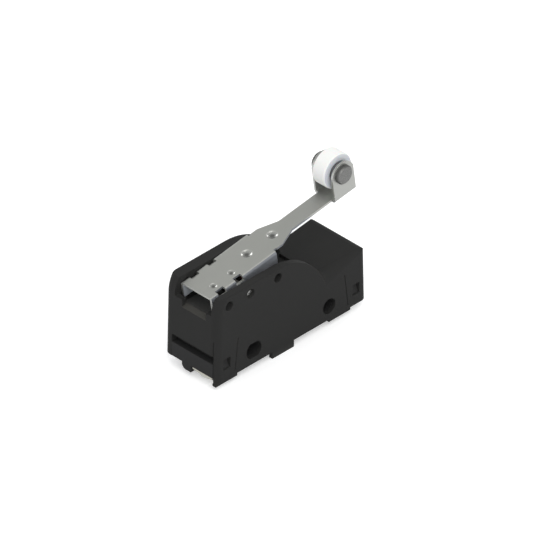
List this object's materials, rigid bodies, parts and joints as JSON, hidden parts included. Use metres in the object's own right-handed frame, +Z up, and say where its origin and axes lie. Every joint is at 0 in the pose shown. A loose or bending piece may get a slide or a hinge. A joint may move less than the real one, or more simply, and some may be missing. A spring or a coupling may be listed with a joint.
{
  "type": "micro switch",
  "caption": "Snap-action micro switch in a black moulded case, worked by a hinged steel lever that carries a white roller above its far end.",
  "frame": {"origin": "centre of the round fixing hole, on the middle plane of the case", "axes": "+X along the case towards the roller, +Y along the fixing holes, +Z up towards the roller"},
  "size_m": [0.0526, 0.0176, 0.0419],
  "materials": {
    "case_black": "fine matt moulding",
    "base_black": "fine matt moulding",
    "pin_steel": "turned",
    "lever_steel": "satin rolled sheet",
    "roller_white": "smooth moulding",
    "rivet_steel": "turned",
    "plunger_plastic": "smooth moulding",
    "blade_metal": "rolled strip",
    "contact_silver": "bright",
    "terminal_metal": "plated strip",
    "screw_steel": "zinc plated",
    "clamp_steel": "zinc plated"
  },
  "bodies": {
    "case": {"housing": "case_black", "terminal_base": "base_black", "hinge_pin": "pin_steel", "common_terminal": "terminal_metal", "normally_open_terminal": "terminal_metal", "normally_closed_terminal": "terminal_metal", "open_contact": "contact_silver", "closed_contact": "contact_silver"},
    "lever_arm": {"lever": "lever_steel", "roller_pin": "rivet_steel"},
    "roller_wheel": {"roller": "roller_white"},
    "button": {"plunger": "plunger_plastic"},
    "blade": {"contact_blade": "blade_metal", "snap_spring": "blade_metal", "moving_contact": "contact_silver"},
    "common_clamping": {"common_screw": "screw_steel", "common_clamp": "clamp_steel"},
    "open_clamping": {"open_screw": "screw_steel", "open_clamp": "clamp_steel"},
    "closed_clamping": {"closed_screw": "screw_steel", "closed_clamp": "clamp_steel"}
  },
  "joints": [
    {"name": "lever_hinge", "type": "hinge", "parent": "case", "child": "lever_arm", "pos_m": [-0.02645, 0, 0.01695], "axis": [0, 1, 0], "range_deg": [0, 8], "stiffness_Nm_per_rad": 0.15, "springref_deg": -11.46},
    {"name": "roller_spin", "type": "hinge", "parent": "lever_arm", "child": "roller_wheel", "pos_m": [0.0096, 0, 0.03135], "axis": [0, 1, 0], "continuous": true},
    {"name": "plunger_travel", "type": "slide", "parent": "case", "child": "button", "axis": [0, 0, -1], "range_m": [0, 0.00104]},
    {"name": "blade_tilt", "type": "hinge", "parent": "case", "child": "blade", "pos_m": [-0.031, 0, 0.00575], "axis": [0, 1, 0], "range_deg": [0, 4.95]},
    {"name": "common_screw_travel", "type": "slide", "parent": "case", "child": "common_clamping", "axis": [0, 0, -1], "range_m": [0, 0.0015]},
    {"name": "open_screw_travel", "type": "slide", "parent": "case", "child": "open_clamping", "axis": [0, 0, -1], "range_m": [0, 0.0015]},
    {"name": "closed_screw_travel", "type": "slide", "parent": "case", "child": "closed_clamping", "axis": [0, 0, -1], "range_m": [0, 0.0015]}
  ],
  "couplings": [
    {"joint": "plunger_travel", "follows": "lever_hinge", "m_per_rad": 0.0074},
    {"joint": "blade_tilt", "follows": "lever_hinge", "ratio": 0.617}
  ]
}
